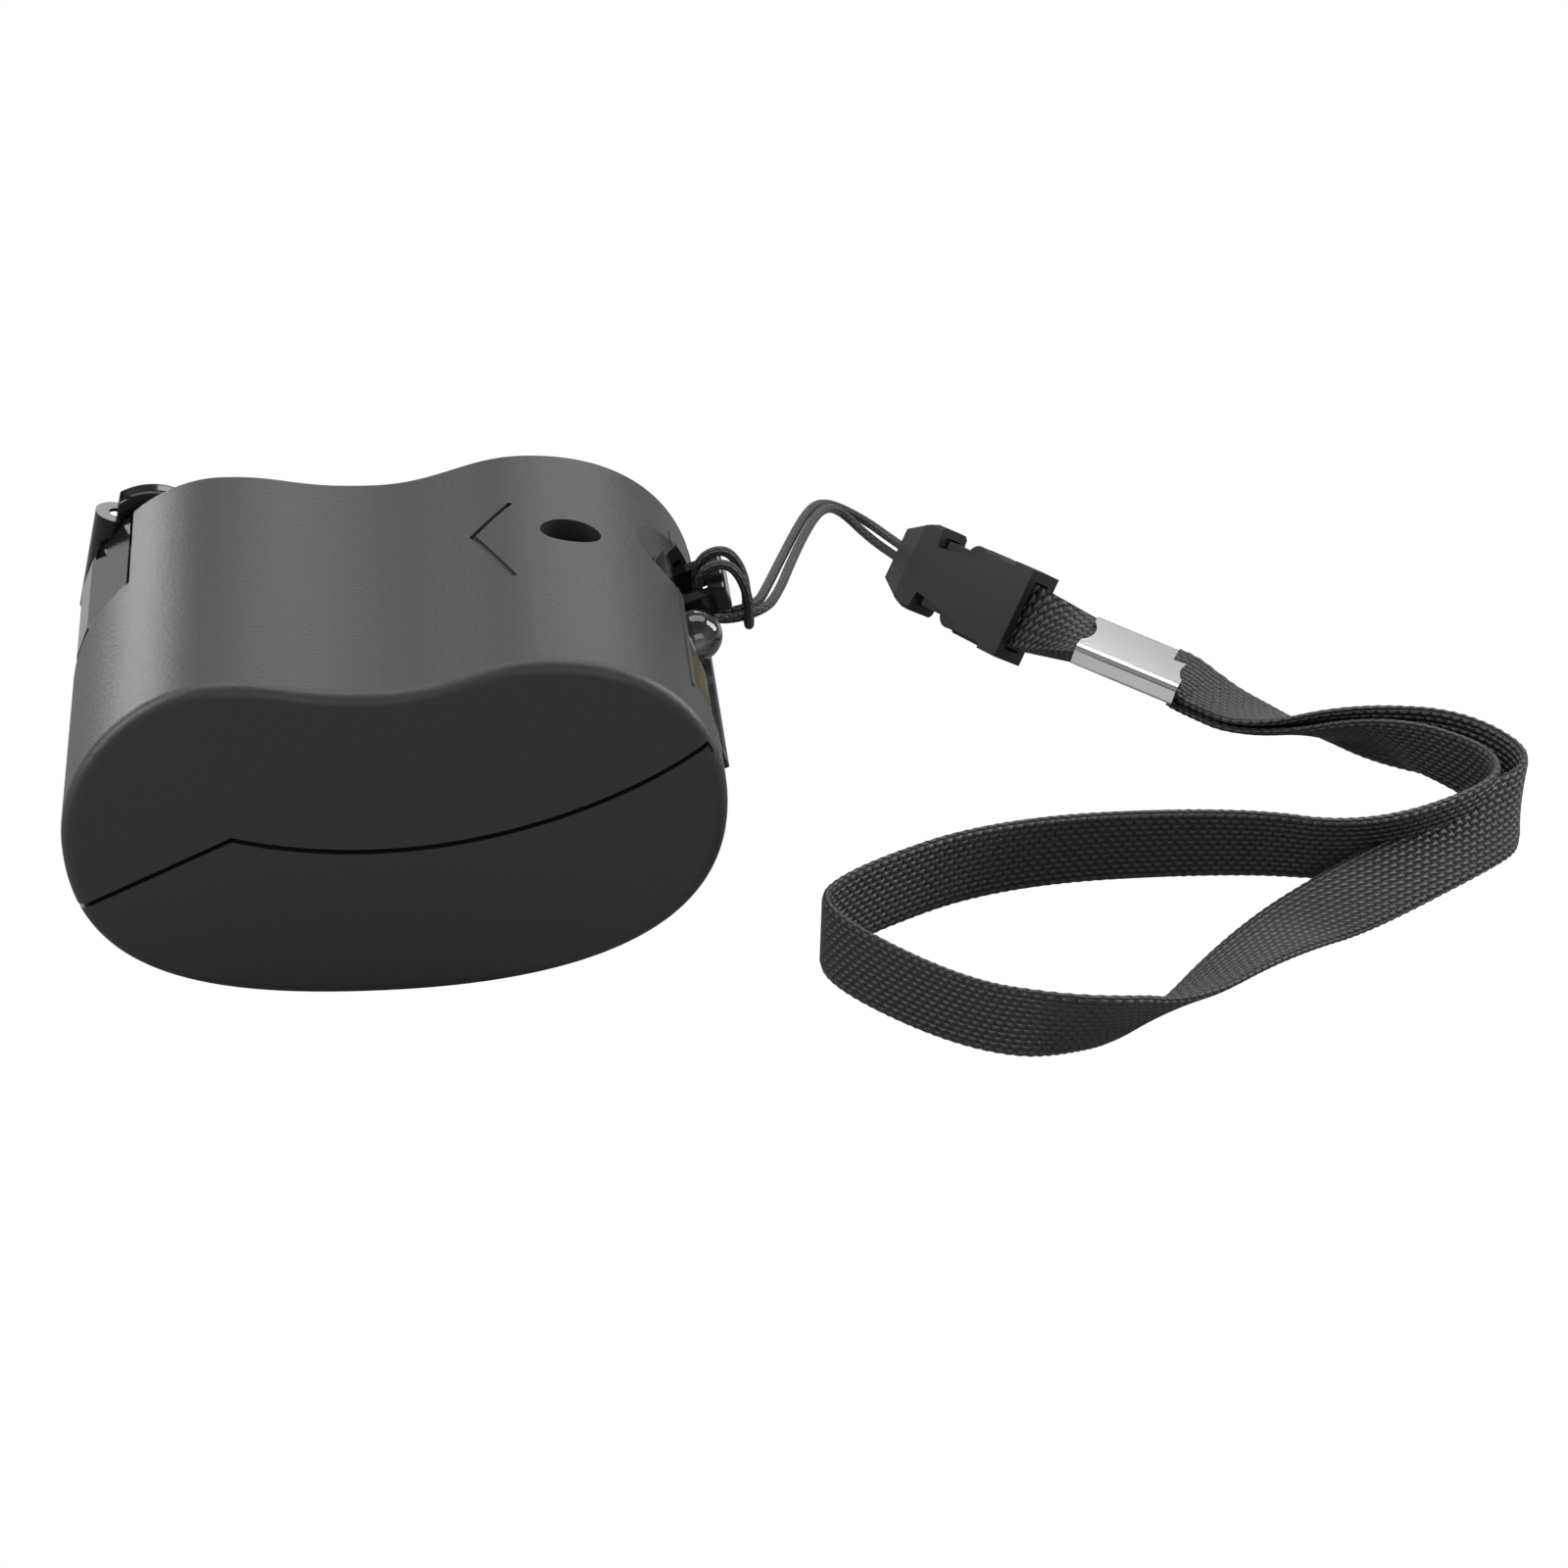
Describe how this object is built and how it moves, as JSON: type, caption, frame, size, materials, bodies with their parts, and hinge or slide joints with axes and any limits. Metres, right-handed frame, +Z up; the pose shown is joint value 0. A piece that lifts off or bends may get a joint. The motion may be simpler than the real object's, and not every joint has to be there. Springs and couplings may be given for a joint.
{
  "type": "hand crank phone charger",
  "caption": "Pocket bean-shaped hand crank generator with folding crank, lamp, charging port and wrist strap on a cord with a side-release buckle.",
  "frame": {"origin": "middle of the underside of the box round the charger with its folded crank, without the lanyard", "axes": "+Z up, -Y out of the flat bean-shaped face without the crank, +X towards the end with the port and lamp"},
  "size_m": [0.1388, 0.1004, 0.0337],
  "materials": {
    "shell_black": "fine matt texture",
    "gloss_black": "polished",
    "panel_black": "satin",
    "lens_clear": "clear water-white",
    "lens_red": "tinted diffused",
    "screw_steel": "zinc",
    "steel": "ground",
    "can_steel": "nickel plated",
    "magnet": "sintered",
    "copper": "enamelled winding",
    "brass": "turned",
    "gear_white": "acetal",
    "plate_grey": "moulded",
    "board_green": "solder mask",
    "component_black": "moulded",
    "capacitor_sleeve": "shrunk sleeve",
    "port_shell": "nickel plated",
    "port_plastic": "moulded",
    "wire_red": "insulated",
    "cord_black": "braided",
    "buckle_black": "moulded",
    "crimp_nickel": "nickel plated",
    "webbing_black": "woven"
  },
  "bodies": {
    "housing": {"upper_shell": "shell_black", "lower_shell": "shell_black", "end_panel": "panel_black", "lanyard_eye": "gloss_black", "housing_screws": "screw_steel", "gear_plate": "plate_grey", "crank_bush": "brass", "second_idler_pin": "steel", "first_idler_pin": "steel", "idler_spacer": "brass", "motor_leads": "wire_red", "lanyard_cord": "cord_black", "buckle_socket": "buckle_black", "buckle_plug": "buckle_black", "strap_tab": "webbing_black", "strap_crimp": "crimp_nickel", "wrist_strap": "webbing_black", "motor_can": "can_steel", "motor_magnets": "magnet", "motor_end_cap": "component_black", "motor_brushes": "brass", "motor_screws": "screw_steel", "circuit_board": "board_green", "usb_shell": "port_shell", "usb_insulator": "port_plastic", "usb_contacts": "brass", "led_lamp": "lens_clear", "led_leads": "steel", "storage_capacitor": "capacitor_sleeve", "rectifier_diodes": "component_black", "regulator_chip": "component_black", "indicator_lamp": "lens_red"},
    "crank": {"crank_arm": "gloss_black", "crank_shaft": "steel", "crank_gear": "gear_white", "crank_hub_screw": "screw_steel", "knob_hinge_pin": "steel"},
    "knob": {"crank_knob": "gloss_black"},
    "first_idler": {"first_idler_gear": "gear_white"},
    "second_idler": {"second_idler_gear": "gear_white"},
    "rotor": {"motor_shaft": "steel", "motor_pinion": "brass", "motor_armature": "copper", "motor_commutator": "copper"}
  },
  "joints": [
    {"name": "crank_spin", "type": "hinge", "parent": "housing", "child": "crank", "pos_m": [0.00456, 0.021, 0.0156], "axis": [0, 1, 0], "range_deg": [-150, 0]},
    {"name": "knob_fold", "type": "hinge", "parent": "crank", "child": "knob", "pos_m": [-0.02794, 0.0214, 0.0229], "axis": [-0.2192, 0, -0.9757], "range_deg": [0, 180]},
    {"name": "first_idler_spin", "type": "hinge", "parent": "housing", "child": "first_idler", "pos_m": [-0.01044, 0.012, 0.0156], "axis": [0, 1, 0], "continuous": true},
    {"name": "second_idler_spin", "type": "hinge", "parent": "housing", "child": "second_idler", "pos_m": [0.00456, 0.009, 0.0156], "axis": [0, 1, 0], "continuous": true},
    {"name": "rotor_spin", "type": "hinge", "parent": "housing", "child": "rotor", "pos_m": [-0.00539, -0.002, 0.01456], "axis": [0, 1, 0], "range_deg": [0, 5900]}
  ],
  "couplings": [
    {"joint": "crank_spin", "follows": "rotor_spin", "ratio": -0.025362},
    {"joint": "first_idler_spin", "follows": "rotor_spin", "ratio": 0.10145},
    {"joint": "second_idler_spin", "follows": "rotor_spin", "ratio": -0.33333}
  ]
}
